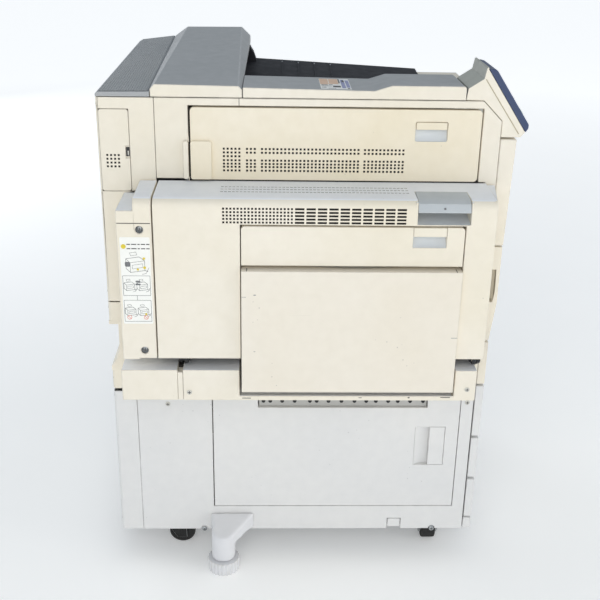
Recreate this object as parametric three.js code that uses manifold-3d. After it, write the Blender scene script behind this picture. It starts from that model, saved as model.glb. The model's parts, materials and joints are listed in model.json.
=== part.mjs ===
// Floor-standing A3 laser copier: print engine with two-sided unit and bypass tray on one side, a paper
// bank with drawers underneath, casters and a stabiliser foot. Millimetres, +Z up. The operator stands at
// -Y (drawers, control panel); the two-sided unit and the bypass tray are on the -X side.
// Origin: centre of the bounding box's base, on the floor.
import * as THREE from 'three';
import { mergeVertices } from 'three/addons/utils/BufferGeometryUtils.js';
import Module from 'manifold-3d';

const wasm = await Module();
wasm.setup();

// ---------- driving dimensions ----------
const NEAR_X = -220;          // side plane of the body that carries the two-sided unit
const FAR_X = 330;            // opposite side plane
const REAR_Y = 339.5;         // back plane
const FRAME_Y = -295.6;       // front edge of the side covers, where the front covers begin
const UPPER_COVER_FACE = [[-318, 619], [-322.5, 797.4]];            // y, z up the face of each front cover
const LOWER_COVER_FACE = [[-309.4, 447], [-317, 516], [-317, 617]];
const DRAWER_FRONT_Y = -310;  // face of the paper drawers
const BANK_Z = [57, 346];     // paper bank, bottom and top
const ENGINE_Z = 352;         // bottom of the print engine
const BAND_Z = 857;           // top edge of the side covers
const SKIN = 3;               // thickness of moulded and sheet covers
const GAP = 0.5;              // clearance between neighbouring pieces

const CORNER_Y = 249.5;       // seam between the rear cover and the side covers
const DUPLEX_X = -320;        // outer face of the two-sided unit
const DUPLEX_Y = [-279, 246];
const DUPLEX_FLARE_Y = -293.5;           // front end of the two-sided unit, where it meets the body
const DUPLEX_Z = [459, 726.5];
const DUPLEX_HINGE = [-305, 452];        // x, z
const DUPLEX_WALL = 4;
const BYPASS_Y = [-231.5, 112.5];
const BYPASS_TOP_Z = 682.5;
const TRAY_X = [-330, -302];             // folded bypass tray, outer and inner face
const TRAY_Z = [403, 613];
const SKIRT_Z = [383, 438];
const BANK_DOOR = { y: [-271.5, 167], z: [108, 342], x: [-220, -208] };
const UPPER_DOOR = { y: [-263.5, 193.5], z: [728.5, 843], x: [-222, -208] };
const PANEL_X = [-218, -118];
const PANEL_TILT = Math.atan2(84, 57);   // tilt of the control panel's face from level
const PANEL_CENTRE = [-310.5, 863];      // y, z of the middle of the panel's face
const WHEEL_R = 24.5;
const FOOT = { x: -257, y: 150, ringR: 29.5, neckR: 22 };
const DRAWERS = [                         // front panel bottom and top, box bottom, box height
  { name: 'tray_1', front: [362, 443], box: 370, height: 62 },
  { name: 'tray_2', front: [257, 358], box: 264, height: 70 },
  { name: 'tray_3', front: [170, 252], box: 178, height: 62 },
  { name: 'tray_4', front: [84, 165], box: 92, height: 62 },
];
const DRAWER_BOX = { x: [-178, 298], y: [-300, 215] };

// ---------- materials ----------
const paint = (color, roughness, metalness = 0) =>
  new THREE.MeshStandardMaterial({ color, roughness, metalness });
const CREAM = paint(0xece6d6, 0.55);
const WARM_CREAM = paint(0xeae3d0, 0.55);
const COOL_WHITE = paint(0xdfe0dd, 0.5);
const TOP_GREY = paint(0x8f969c, 0.6);
const PALE_GREY = paint(0xc3c8c8, 0.55);
const DARK = paint(0x25262b, 0.6);
const NAVY = paint(0x46527a, 0.4);
const BLACK = paint(0x18181a, 0.5);
const STEEL = paint(0xa8abad, 0.4, 0.9);
const RUBBER = paint(0x151515, 0.85);
const FOOT_WHITE = paint(0xe6e7e9, 0.4);
const KEY_GREEN = paint(0x4f8f63, 0.45);
const TONER = [paint(0x2a9bc4, 0.4), paint(0xc23a78, 0.4), paint(0xd9c23a, 0.4), paint(0x2b2b2b, 0.4)];

// ---------- solids ----------
function toManifold(geometry) {
  const g = geometry.index ? geometry : geometry.clone();
  g.deleteAttribute('normal');
  g.deleteAttribute('uv');
  const merged = mergeVertices(g, 1e-3);
  return new wasm.Manifold(new wasm.Mesh({
    numProp: 3,
    vertProperties: new Float32Array(merged.attributes.position.array),
    triVerts: new Uint32Array(merged.index.array),
  }));
}

function toGeometry(manifold) {
  const { vertProperties, triVerts } = manifold.getMesh();
  const geometry = new THREE.BufferGeometry();
  geometry.setAttribute('position', new THREE.BufferAttribute(new Float32Array(vertProperties), 3));
  geometry.setIndex(new THREE.BufferAttribute(new Uint32Array(triVerts), 1));
  return geometry;
}

const box = ([x0, x1], [y0, y1], [z0, z1]) => toManifold(
  new THREE.BoxGeometry(x1 - x0, y1 - y0, z1 - z0)
    .translate((x0 + x1) / 2, (y0 + y1) / 2, (z0 + z1) / 2));

// A prism whose outline is drawn in the plane across its axis: (y,z) for x, (x,z) for y, (x,y) for z.
function prism(axis, outline, [start, end]) {
  const shape = outline instanceof THREE.Shape
    ? outline : new THREE.Shape(outline.map(([a, b]) => new THREE.Vector2(a, b)));
  const g = new THREE.ExtrudeGeometry(shape, { depth: end - start, bevelEnabled: false, curveSegments: 5 });
  const basis = {
    x: [new THREE.Vector3(0, 1, 0), new THREE.Vector3(0, 0, 1), new THREE.Vector3(1, 0, 0), start],
    y: [new THREE.Vector3(1, 0, 0), new THREE.Vector3(0, 0, 1), new THREE.Vector3(0, -1, 0), -end],
    z: [new THREE.Vector3(1, 0, 0), new THREE.Vector3(0, 1, 0), new THREE.Vector3(0, 0, 1), start],
  }[axis];
  const [u, v, n, offset] = basis;
  return toManifold(g.translate(0, 0, offset).applyMatrix4(new THREE.Matrix4().makeBasis(u, v, n)));
}

// A rectangle with round corners, as an outline for prism().
function roundRect([a0, a1], [b0, b1], r) {
  const s = new THREE.Shape();
  s.moveTo(a0 + r, b0);
  s.lineTo(a1 - r, b0);
  s.absarc(a1 - r, b0 + r, r, -Math.PI / 2, 0);
  s.lineTo(a1, b1 - r);
  s.absarc(a1 - r, b1 - r, r, 0, Math.PI / 2);
  s.lineTo(a0 + r, b1);
  s.absarc(a0 + r, b1 - r, r, Math.PI / 2, Math.PI);
  s.lineTo(a0, b0 + r);
  s.absarc(a0 + r, b0 + r, r, Math.PI, Math.PI * 1.5);
  return s;
}

// A cylinder from one end to the other along a row axis, at the given place across it.
function rod(axis, radius, [start, end], across, sides = 20) {
  const g = new THREE.CylinderGeometry(radius, radius, end - start, sides);
  const middle = (start + end) / 2;
  if (axis === 'x') g.rotateZ(-Math.PI / 2).translate(middle, ...across);
  if (axis === 'y') g.translate(across[0], middle, across[1]);
  if (axis === 'z') g.rotateX(Math.PI / 2).translate(...across, middle);
  return toManifold(g);
}

// A solid between two outlines with the same number of points, each in a plane across the axis.
function loft(axis, first, atFirst, second, atSecond) {
  const points = (outline) => outline.map(([a, b]) => new THREE.Vector2(a, b));
  if (THREE.ShapeUtils.isClockWise(points(first))) {
    return loft(axis, [...first].reverse(), atFirst, [...second].reverse(), atSecond);
  }
  const place = ([a, b], t) => (axis === 'x' ? [t, a, b] : [a, t, b]);
  const ring = [...first.map((p) => place(p, atFirst)), ...second.map((p) => place(p, atSecond))];
  const n = first.length;
  const faces = THREE.ShapeUtils.triangulateShape(points(first), []).map(([a, b, c]) => [a, c, b]);
  THREE.ShapeUtils.triangulateShape(points(second), []).forEach(([a, b, c]) => {
    faces.push([a + n, b + n, c + n]);
  });
  for (let i = 0; i < n; i += 1) {
    const j = (i + 1) % n;
    faces.push([i, j, j + n], [i, j + n, i + n]);
  }
  const facesOut = (axis === 'x') === (atSecond > atFirst);
  const g = new THREE.BufferGeometry();
  g.setAttribute('position', new THREE.BufferAttribute(new Float32Array(ring.flat()), 3));
  g.setIndex(faces.flatMap(([a, b, c]) => (facesOut ? [a, b, c] : [a, c, b])));
  return toManifold(g);
}

const join = (first, ...rest) => rest.reduce((sum, piece) => sum.add(piece), first);
const cut = (first, ...rest) => rest.reduce((sum, piece) => sum.subtract(piece), first);

// ---------- scene graph ----------
const copier = new THREE.Group();

function addPiece(name, manifold, material, parent = copier) {
  const mesh = new THREE.Mesh(toGeometry(manifold), material);
  mesh.name = name;
  parent.add(mesh);
  return mesh;
}

// ---------- paper bank ----------
function railPair(bottom, yRange) {
  const z = [bottom - 6, bottom - 1];
  return join(box([-200, -150], yRange, z), box([270, 322], yRange, z));
}

function bankFrame() {
  const posts = [[-214, -182], [302, 324]].map((x) => box(x, [-293, -275], [62, 346]));
  const plates = [
    box([-214, 324], [-293, 298], [62, 65]),
    box([-214, 324], [292, 295], [62, 346]),
    box([-214, 324], [-293, 298], [343, 346]),
  ];
  const rails = DRAWERS.slice(1).map((d) => railPair(d.box, [-290, 293]));
  return join(...plates, ...posts, ...rails);
}

function bankSideCover() {
  const plate = box([NEAR_X, NEAR_X + SKIN], [-294, 299], BANK_Z);
  const doorway = box([NEAR_X - 1, NEAR_X + 9], [BANK_DOOR.y[0] - 1, BANK_DOOR.y[1] + 1.5], [107, 400]);
  const jackNotch = box([NEAR_X - 1, NEAR_X + 9], [-178.5, -153], [50, 80]);
  const screwNotches = [-237.5, 187].map((y) => rod('x', 6, [NEAR_X - 1, NEAR_X + 9], [y, 58], 12));
  return cut(plate, doorway, jackNotch, ...screwNotches);
}

// A cover that wraps the back of the machine from side plane to side plane.
function wrapCover(frontY, zRange) {
  const outer = roundRect([NEAR_X, FAR_X], [frontY, REAR_Y], 6);
  const shell = prism('z', outer, zRange);
  const hollow = box(
    [NEAR_X + SKIN, FAR_X - SKIN], [frontY - 20, REAR_Y - SKIN], [zRange[0] - 1, zRange[1] + 1]);
  const squareFront = [NEAR_X, FAR_X - SKIN].map((x) => box([x, x + SKIN], [frontY, frontY + 8], zRange));
  return join(cut(shell, hollow), ...squareFront);
}

function bankDoor() {
  const slab = box(BANK_DOOR.x, BANK_DOOR.y, BANK_DOOR.z);
  const topNotch = box([NEAR_X - 1, -200], [-213, 87.6], [314, 350]);
  const handlePocket = box([NEAR_X - 1, -211.5], [-248, -194], [196, 275]);
  const ribSpace = box([-216, -200], [-262, 158], [117, 186]);
  return cut(slab, topNotch, handlePocket, ribSpace);
}

function drawer({ front, box: bottom, height }) {
  const panel = box([NEAR_X, FAR_X], [DRAWER_FRONT_Y, FRAME_Y - GAP], front);
  const grip = box([-20, 130], [DRAWER_FRONT_Y - 1, DRAWER_FRONT_Y + 9], [front[1] - 24, front[1] + 1]);
  const tub = box(DRAWER_BOX.x, DRAWER_BOX.y, [bottom, bottom + height]);
  const inside = box([DRAWER_BOX.x[0] + SKIN, DRAWER_BOX.x[1] - SKIN],
    [DRAWER_BOX.y[0] + SKIN, DRAWER_BOX.y[1] - SKIN], [bottom + SKIN, bottom + height + 1]);
  return cut(panel.add(cut(tub, inside)), grip);
}

function addCaster(name, x, y, heading) {
  const trail = 17;
  const group = new THREE.Group();
  group.position.set(x, y, 0);
  group.rotation.z = heading;
  const cheeks = [[-18, -13.5], [13.5, 18]].map((side) => prism('x',
    [[-trail - 9, 13], [-trail + 9, 13], [16, 52], [-24, 52]], side));
  const swivelHead = cut(rod('z', 20, [45, 51], [0, 2]), box([-25, 25], [-30, 0.5], [44, 50]));
  const fork = join(
    box([-18, 18], [-24, 16], [50, 56]), ...cheeks, swivelHead, rod('z', 9, [56, 61.4], [0, 0], 16));
  const axle = rod('x', 3, [-18, 18], [-trail, WHEEL_R], 12);
  addPiece(`${name}_fork`, fork.add(axle), STEEL, group);
  const tyre = rod('x', WHEEL_R, [-12.8, 12.8], [-trail, WHEEL_R], 32);
  const bore = rod('x', 3.4, [-14, 14], [-trail, WHEEL_R], 12);
  addPiece(`${name}_wheel`, cut(tyre, bore), RUBBER, group);
  copier.add(group);
}

function stabiliserArm() {
  const { x, y, neckR } = FOOT;
  const plan = new THREE.Shape();
  plan.moveTo(NEAR_X - GAP, 93);
  plan.lineTo(NEAR_X - GAP, 175);
  plan.lineTo(x + 8, y + 20.5);
  plan.absarc(x, y, neckR, Math.PI * 0.38, Math.PI * 1.3);
  const arm = prism('z', plan, [58, 96]);
  const slope = prism('y', [[NEAR_X, 95], [NEAR_X, 120], [x - 40, 120], [x - 40, 71]], [60, 200]);
  const underside = prism('y', [[NEAR_X + 1, 50], [x + 12, 50], [x + 12, 62], [NEAR_X + 1, 62]], [60, 200]);
  const neck = rod('z', neckR, [24.6, 62], [x, y], 28);
  const stem = rod('z', 8, [7, 30], [x, y], 16);
  return join(cut(arm, slope, underside), neck, stem);
}

function stabiliserRing() {
  const teeth = 24;
  const rim = new THREE.Shape();
  for (let i = 0; i < teeth * 2; i += 1) {
    const angle = (i * Math.PI) / teeth;
    const radius = FOOT.ringR - (i % 2) * 2.2;
    const point = [FOOT.x + radius * Math.cos(angle), FOOT.y + radius * Math.sin(angle)];
    if (i === 0) rim.moveTo(...point);
    else rim.lineTo(...point);
  }
  return cut(prism('z', rim, [0, 24]), rod('z', 8.6, [5, 30], [FOOT.x, FOOT.y], 16));
}

addPiece('bank_frame', bankFrame(), STEEL);
addPiece('bank_side_cover', bankSideCover(), COOL_WHITE);
addPiece('bank_rear_cover', wrapCover(299.5, BANK_Z), COOL_WHITE);
addPiece('bank_far_cover', box([FAR_X - SKIN, FAR_X], [-294, 299], BANK_Z), COOL_WHITE);
addPiece('bank_front_strip', box([NEAR_X, FAR_X], [DRAWER_FRONT_Y, FRAME_Y], [58, 81]), COOL_WHITE);
addPiece('bank_door', bankDoor(), COOL_WHITE);
addPiece('bank_door_latch', box([-219.8, -215.8], [-247.5, -220], [196.6, 274.4]), COOL_WHITE);
const guideRibs = Array.from({ length: 14 }, (_, i) => -205 + i * 21.5)
  .map((y) => box([-207.4, -203], [y, y + 3], [120, 342]));
addPiece('bank_feed_guide', join(box([-204, -201], [-212, 86], [112, 342]), ...guideRibs), PALE_GREY);
DRAWERS.forEach((d) => addPiece(d.name, drawer(d), d.name === 'tray_1' ? CREAM : COOL_WHITE));
addCaster('caster_near_rear', -168, 249, 0);
addCaster('caster_near_front', -178, -240, Math.PI / 2);
addCaster('caster_far_rear', 278, 249, 0);
addCaster('caster_far_front', 286, -240, Math.PI / 2);
addPiece('stabiliser_arm', stabiliserArm(), FOOT_WHITE);
addPiece('stabiliser_ring', stabiliserRing(), FOOT_WHITE);

// ---------- engine frame and units inside ----------
// An arm that carries the two-sided unit on a pin along Y.
function hingeBracket([y0, y1], [pin0, pin1]) {
  const [x, z] = DUPLEX_HINGE;
  const outline = [
    [-217, 424], [-217, 458], [x, 458], [x - 4, 456], [x - 6, z], [x - 4, 448], [-270, 424]];
  const plate = prism('y', outline, [y0, y1]);
  return plate.add(rod('y', 4, [pin0, pin1], DUPLEX_HINGE, 16));
}

function mainFrame() {
  const plates = [
    box([-219, 326], [-290, 249], [ENGINE_Z + 1.5, ENGINE_Z + 4.5]),
    box([-216, 326], [240, 258], [ENGINE_Z + 1.5, ENGINE_Z + 4.5]),
    box([-205, 326], [255, 258], [ENGINE_Z + 1.5, 840]),
    box([-205, 326], [-290, 258], [448, 451]),
    box([-219, -216], [-276.5, 249], [ENGINE_Z + 1.5, 459]),
    box([-205, 326], [-290, -270], [785, 795]),
  ];
  const posts = [[-205, -185], [306, 326]].map((x) => box(x, [-290, -270], [ENGINE_Z + 1.5, 795]));
  const hingeArms = [
    hingeBracket([209.5, 213.5], [196, 211]),
    hingeBracket([-276.5, -272.5], [-274, -259]),
  ];
  return join(...plates, ...posts, ...hingeArms, railPair(DRAWERS[0].box, [-290, 256]));
}

const BOTTLE_X = [20, 100, 180, 260];
const BOTTLE_Z = 738;

function innerFrontPanel() {
  const plate = box([-184, 305], [-293.5, -290.5], [453, 794]);
  return cut(plate, ...BOTTLE_X.map((x) => rod('y', 37, [-300, -280], [x, BOTTLE_Z], 24)));
}

function tonerBottle(x) {
  const body = rod('y', 34, [-292, 190], [x, BOTTLE_Z], 24);
  const grip = box([x - 5, x + 5], [-300, -291], [BOTTLE_Z - 24, BOTTLE_Z + 24]);
  return body.subtract(rod('y', 28, [-300, -284], [x, BOTTLE_Z], 24)).add(
    join(grip, box([x - 5, x + 5], [-292, -280], [BOTTLE_Z - 24, BOTTLE_Z + 24])));
}

const FUSER_Z = 782;
const FUSER_X = [-130, -171];

function fuserHousing() {
  const outer = box([-200, -90], [-232, 180], [736, 832]);
  const inner = box([-210, -96], [-226, 174], [742, 826]);
  const ears = [[-232, -226], [174, 180]].map((y) => box([-132, -108], y, [830, 855]));
  const bores = FUSER_X.map((x) => rod('y', 6.5, [-250, 190], [x, FUSER_Z], 16));
  const exitBore = rod('y', 4.6, [-250, 190], [-120, 845], 16);
  return cut(join(cut(outer, inner), ...ears), ...bores, exitBore);
}

const roller = (x, z, radius, shaftRadius) => join(
  rod('y', radius, [-219, 166], [x, z], 24),
  rod('y', shaftRadius, [-233, 184], [x, z], 16));

function transferUnit() {
  const belt = roundRect([-160, 290], [560, 622], 30);
  return prism('y', belt, [-262, 230]);
}

addPiece('main_frame', mainFrame(), STEEL);
addPiece('inner_front_panel', innerFrontPanel(), PALE_GREY);
BOTTLE_X.forEach((x, i) => addPiece(`toner_bottle_${i + 1}`, tonerBottle(x), TONER[i]));
addPiece('fuser_housing', fuserHousing(), BLACK);
addPiece('fuser_roller', roller(FUSER_X[0], FUSER_Z, 19.5, 6), STEEL);
addPiece('pressure_roller', roller(FUSER_X[1], FUSER_Z, 20.5, 6), RUBBER);
addPiece('exit_roller', roller(-120, 845, 8, 4), RUBBER);
addPiece('transfer_unit', transferUnit(), BLACK);

// ---------- engine covers ----------
function sideSurround() {
  const outline = [
    [249, 729], [249, BAND_Z], [-264.5, BAND_Z], [FRAME_Y, 826], [FRAME_Y, SKIRT_Z[0]],
    [-277.5, SKIRT_Z[0]], [-277.5, 727], [-266, 727], [-266, 845.5], [197, 845.5], [197, 729],
  ];
  const hingeBump = prism('x', roundRect([197, 205.5], [730, 791], 3.5), [-228, NEAR_X]);
  return prism('x', outline, [NEAR_X, -208]).add(hingeBump);
}

function upperDoor() {
  const slab = prism('x', roundRect(UPPER_DOOR.y, UPPER_DOOR.z, 6), UPPER_DOOR.x);
  const hingeBump = prism('x', roundRect([161, 193.5], [730, 791], 3.5), [-228, -221]);
  const pocket = prism('x', roundRect([-211, -159.5], [793, 824.5], 3), [-223, -212]);
  return cut(slab.add(hingeBump), pocket);
}

function rearCover() {
  const doorway = box([NEAR_X - 1, NEAR_X + 5], [289, 336.2], [707, 839]);
  return cut(wrapCover(CORNER_Y, [516, BAND_Z]), doorway);
}

function rearLowerCover() {
  const handSpace = [[324, 474], [REAR_Y + 2, 474], [REAR_Y + 2, 393], [336, 399], [330, 409], [324, 428]];
  const grips = [[NEAR_X, NEAR_X + 114], [FAR_X - 114, FAR_X]].map((x) => box(x, [320, REAR_Y], [388, 480]));
  const spaces = [[NEAR_X - 1, NEAR_X + 110], [FAR_X - 110, FAR_X + 1]].map((x) => prism('x', handSpace, x));
  return cut(join(wrapCover(CORNER_Y, [ENGINE_Z, 514]), ...grips), ...spaces);
}

function serviceDoor() {
  const slab = prism('x', roundRect([289.5, 335.6], [707.6, 838.4], 4), [NEAR_X, NEAR_X + 4]);
  const latchSlot = box([NEAR_X - 1, NEAR_X + 2.4], [289, 296], [761, 781]);
  return cut(slab, latchSlot);
}

// A hollow front cover; its face runs up through the given (y, z) points.
function frontCover(face) {
  const bottom = face[0][1];
  const top = face[face.length - 1][1];
  const innerFace = face.map(([y, z]) => [y + 4, Math.min(Math.max(z, bottom + 4), top - 4)]);
  const outer = [[FRAME_Y - GAP, bottom], ...face, [FRAME_Y - GAP, top]];
  const hollow = [[-290, bottom + 4], ...innerFace, [-290, top - 4]];
  return cut(prism('x', outer, [NEAR_X, FAR_X]), prism('x', hollow, [NEAR_X + 4, FAR_X - 4]));
}

function lowerFrontCover() {
  const gripWall = box([NEAR_X, -196], [-315, -297], [512, 583]);
  const gripSpace = prism('x',
    [[-290, 518], [-309, 518], [-311.3, 535], [-311.3, 555], [-310.6, 577], [-290, 577]], [NEAR_X - 1, -200]);
  return cut(frontCover(LOWER_COVER_FACE).add(gripWall), gripSpace);
}

function exhaustHood() {
  const near = [[254.5, 858], [254.5, 870], [248, 877.5], [118, 876], [112.5, 871], [112.5, 858]];
  const far = [[264, 858], [264, 880], [239, 898], [128, 899], [110.5, 882], [110.5, 858]];
  const nearInside = [[251.5, 850], [251.5, 868], [246, 874], [119.5, 873], [115.5, 869], [115.5, 850]];
  const farInside = [[261, 850], [261, 877], [237.5, 895], [129, 896], [113.5, 880], [113.5, 850]];
  const shell = cut(
    loft('x', near, NEAR_X, far, FAR_X),
    loft('x', nearInside, NEAR_X + 4, farInside, FAR_X - 4));
  return cut(shell, box([-107.5, FAR_X + 1], [100, 128], [850, 868]));
}

function topGrille() {
  const near = [[339, 858], [339, 862], [334, 865], [255.5, 866], [255.5, 858]];
  const far = [[339, 858], [339, 867], [332, 871], [265, 879.5], [265, 858]];
  const nearInside = [[336, 850], [336, 861], [333, 862], [258.5, 863], [258.5, 850]];
  const farInside = [[336, 850], [336, 865], [331, 868], [268, 876], [268, 850]];
  return cut(loft('x', near, NEAR_X, far, FAR_X), loft('x', nearInside, NEAR_X + 4, farInside, FAR_X - 4));
}

function topRim() {
  const outline = [
    [111.5, 858], [111.5, 874], [-93, 871], [-120, 879.5], [-233, 879.5], [-236, 877], [-236, 858]];
  const plate = prism('x', outline, [NEAR_X, -108]);
  const hollow = prism('x', [[107, 850], [107, 868], [-95, 866], [-122, 874], [-231, 874], [-231, 850]],
    [NEAR_X + 4, -112]);
  return cut(plate, hollow);
}

function outputTray() {
  const atRear = [[-88, 796], [-88, 803], [100, 806], [230, 826], [FAR_X, 838], [FAR_X, 800], [230, 796]];
  const atFront = [[-88, 796], [-88, 803], [100, 804], [230, 812], [FAR_X, 819], [FAR_X, 800], [230, 796]];
  const floor = loft('y', atRear, 127, atFront, -234);
  const rearWall = box([-88, FAR_X], [124.5, 127.5], [800, 856]);
  const step = prism('x', [[127, 830], [127, 866], [112, 866], [108, 858], [104, 852], [98, 835], [98, 830]],
    [300, FAR_X]);
  const ribs = [45, 12, -21, -54].map((y) => {
    const forward = (127 - y) / 361;
    return prism('y', [[140, 802], [FAR_X - 12, 830 - 19 * forward], [FAR_X - 12, 840 - 19 * forward],
      [170, 819 - 9 * forward]], [y - 1.5, y + 1.5]);
  });
  return join(floor, rearWall, step, ...ribs);
}

addPiece('side_surround', sideSurround(), CREAM);
addPiece('upper_door', upperDoor(), WARM_CREAM);
addPiece('upper_door_latch', box([-221.8, -217.8], [-209.8, -160.7], [811.5, 823.4]), WARM_CREAM);
addPiece('rear_cover', rearCover(), CREAM);
addPiece('rear_lower_cover', rearLowerCover(), CREAM);
addPiece('service_door', serviceDoor(), CREAM);
addPiece('far_cover', join(
  box([FAR_X - SKIN, FAR_X], [FRAME_Y, 249], [ENGINE_Z, 798.5]),
  box([FAR_X - SKIN, FAR_X], [128.5, 249], [ENGINE_Z, BAND_Z])), CREAM);
addPiece('upper_front_cover', frontCover(UPPER_COVER_FACE), CREAM);
addPiece('lower_front_cover', lowerFrontCover(), CREAM);
addPiece('front_top_cover', box([-117, FAR_X], [-322, -235], [799, 812]), CREAM);
addPiece('exhaust_hood', exhaustHood(), TOP_GREY);
addPiece('top_grille', topGrille(), TOP_GREY);
addPiece('top_rim', topRim(), TOP_GREY);
addPiece('output_tray', outputTray(), DARK);

// ---------- control panel ----------
const PANEL_KEYS = [
  { name: 'key_start', across: -30, up: -30, radius: 8, material: KEY_GREEN },
  { name: 'key_stop', across: -8, up: -30, radius: 6, material: DARK },
];
const KEY_TRAVEL_SPACE = 2;

function onPanel(geometry) {
  return geometry.rotateX(PANEL_TILT)
    .translate((PANEL_X[0] + PANEL_X[1]) / 2, ...PANEL_CENTRE);
}

function keyDisc({ across, up, radius }, [low, high], sides = 20) {
  const disc = new THREE.CylinderGeometry(radius, radius, high - low, sides);
  return toManifold(onPanel(disc.rotateX(Math.PI / 2).translate(across, up, (low + high) / 2)));
}

function panelFace() {
  const outline = [
    [-268.8, 906], [-275, 906.4], [-282, 904.5], [-339.5, 820.6], [-339.2, 814.3], [-335.2, 808.4]];
  const plate = prism('x', outline, PANEL_X);
  const windowCut = toManifold(onPanel(new THREE.BoxGeometry(76, 30, 4).translate(0, 22, 0)));
  const keyHoles = PANEL_KEYS.map((k) => keyDisc({ ...k, radius: k.radius + 0.5 }, [-3 - KEY_TRAVEL_SPACE, 5]));
  return cut(plate, windowCut, ...keyHoles);
}

function panelHousing() {
  const outline = [
    [-236.6, 858.2], [-239, 877], [-262, 892], [-264.6, 905], [-265.2, 908.6], [-267, 909.5], [-268.4, 909.2],
    [-268.3, 905.8], [-334.7, 808.2], [-333.4, 806.6], [-327.5, 800.2],
    [-296.5, 800.2], [-296.5, 826.3], [-265, 857.8],
  ];
  return prism('x', outline, PANEL_X);
}

addPiece('panel_housing', panelHousing(), CREAM);
addPiece('panel_face', panelFace(), NAVY);
PANEL_KEYS.forEach((k) => addPiece(k.name, keyDisc(k, [-2.6, 1.6]), k.material));

// ---------- two-sided unit, end cover and skirts ----------
const duplexOutline = (inset) => {
  const x = DUPLEX_X + inset;
  const top = DUPLEX_Z[1] - inset;
  const s = new THREE.Shape();
  s.moveTo(-222, DUPLEX_Z[0]);
  s.lineTo(-222, top);
  s.lineTo(x + 15, top - 2);
  s.absarc(x + 15, top - 17, 15, Math.PI / 2, Math.PI);
  s.lineTo(x, DUPLEX_Z[0]);
  return s;
};

function duplexUnit() {
  const [front, rear] = DUPLEX_Y;
  const insideY = [front + DUPLEX_WALL, rear - DUPLEX_WALL];
  const flareZ = [DUPLEX_Z[0], DUPLEX_Z[1] - 3];
  const flare = prism('z',
    [[-222, DUPLEX_FLARE_Y], [-222, front + 3], [-312, front + 3], [-312, front]], flareZ);
  const flareInside = prism('z',
    [[-200, DUPLEX_FLARE_Y + 1], [-200, front + 5], [-296, front + 5], [-296, front + 1.5]],
    [flareZ[0] - 9, flareZ[1] - DUPLEX_WALL]);
  const outer = prism('y', duplexOutline(0), DUPLEX_Y).add(flare);
  const inner = join(
    prism('y', duplexOutline(DUPLEX_WALL), insideY),
    box([-300, -200], insideY, [450, 716]),
    box([-315.5, -200], insideY, [440, 480]),
    flareInside);
  const bypassWalls = box([-318, -284], [-236, 117.5], [DUPLEX_Z[0], 688]);
  const bypassSpace = box([-330, -288], [-233, 114], [440, 685]);
  const leverWalls = box([-318, -266], [-242, -154], [683, 722]);
  const leverSpace = box([-330, -270], [-239, -157], [687, 740]);
  const earOutline = [[-312, 446], [-298, 446], [-298, 480], [-318, 480], [-318, 458]];
  const ears = [[199, 205], [-268, -262]].map((y) => prism('y', earOutline, y));
  const earBores = rod('y', 4.6, [-290, 260], DUPLEX_HINGE, 16);
  const guideStops = [[front - 9, front + 8], [rear - 8, rear - 3]]
    .map((y) => box([-245, -238], y, [480, 700]));
  const shell = cut(outer, inner);
  return cut(join(shell, bypassWalls, leverWalls, ...ears, ...guideStops), bypassSpace, leverSpace, earBores);
}

function duplexGuide() {
  const plate = box([-237.5, -234.5], [-266, 237], [475, 712]);
  const ribs = Array.from({ length: 12 }, (_, i) => -255 + i * 42)
    .map((y) => box([-236, -228], [y, y + 3], [480, 706]));
  return join(plate, ...ribs);
}

function duplexLever() {
  const outer = [[-272, 726], [-304, 724.2], [-316, 719], [-320, 709], [-320, 706], [-315.5, 706],
    [-315.5, 708.5], [-312, 715.5], [-303, 719.5], [-272, 721]];
  return prism('y', outer, [-238.4, -157.6]);
}

function bypassUnit() {
  const block = box([DUPLEX_X, -300], BYPASS_Y, [619, BYPASS_TOP_Z]);
  const plate = box([-300.4, -295], BYPASS_Y, [408, BYPASS_TOP_Z]);
  const plateRelief = box([-301, -299], BYPASS_Y, [400, 619]);
  const pocket = box([DUPLEX_X - 1, -308], [-204, -152], [650, 690]);
  return cut(cut(join(plate, block), plateRelief), pocket);
}

function bypassTray() {
  const slab = box(TRAY_X, BYPASS_Y, TRAY_Z);
  const scoop = new THREE.Shape();
  scoop.moveTo(TRAY_X[1] + 2, -148);
  scoop.quadraticCurveTo(TRAY_X[0] + 4, -65, TRAY_X[1] + 2, 18);
  return cut(slab, prism('z', scoop, [TRAY_Z[1] - 15, TRAY_Z[1] + 5]));
}

function endCover() {
  const tall = prism('y', duplexOutline(0), [248, 276]);
  const low = box([DUPLEX_X, -222], [275, 302], [457, 706]);
  const hollow = join(box([DUPLEX_X + 4, -200], [252, 273], [461, 710]),
    box([DUPLEX_X + 4, -200], [260, 298], [461, 702]));
  const screwHoles = [675.5, 473].map((z) => rod('x', 6, [DUPLEX_X - 1, DUPLEX_X + 9], [267, z], 16));
  return cut(join(tall, low), hollow, ...screwHoles);
}

function rearSkirt() {
  const outer = box([DUPLEX_X, -222], [216.5, 307], SKIRT_Z);
  return cut(outer, box([DUPLEX_X + 4, -200], [220.5, 303], [SKIRT_Z[0] + 4, SKIRT_Z[1] - 4]));
}

function frontSkirt() {
  const blocks = [[-271, -235.5], [116.5, 208]].map(([y0, y1]) => cut(
    box([DUPLEX_X, -222], [y0, y1], SKIRT_Z),
    box([DUPLEX_X + 4, -200], [y0 + 4, y1 - 4], [SKIRT_Z[0] + 4, SKIRT_Z[1] - 4])));
  const floor = box([DUPLEX_X, -222], [-271, 208], [SKIRT_Z[0], SKIRT_Z[0] + 4]);
  const lip = box([DUPLEX_X, DUPLEX_X + 4], [-271, 208], [SKIRT_Z[0], SKIRT_Z[0] + 8]);
  return join(...blocks, floor, lip);
}

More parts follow.
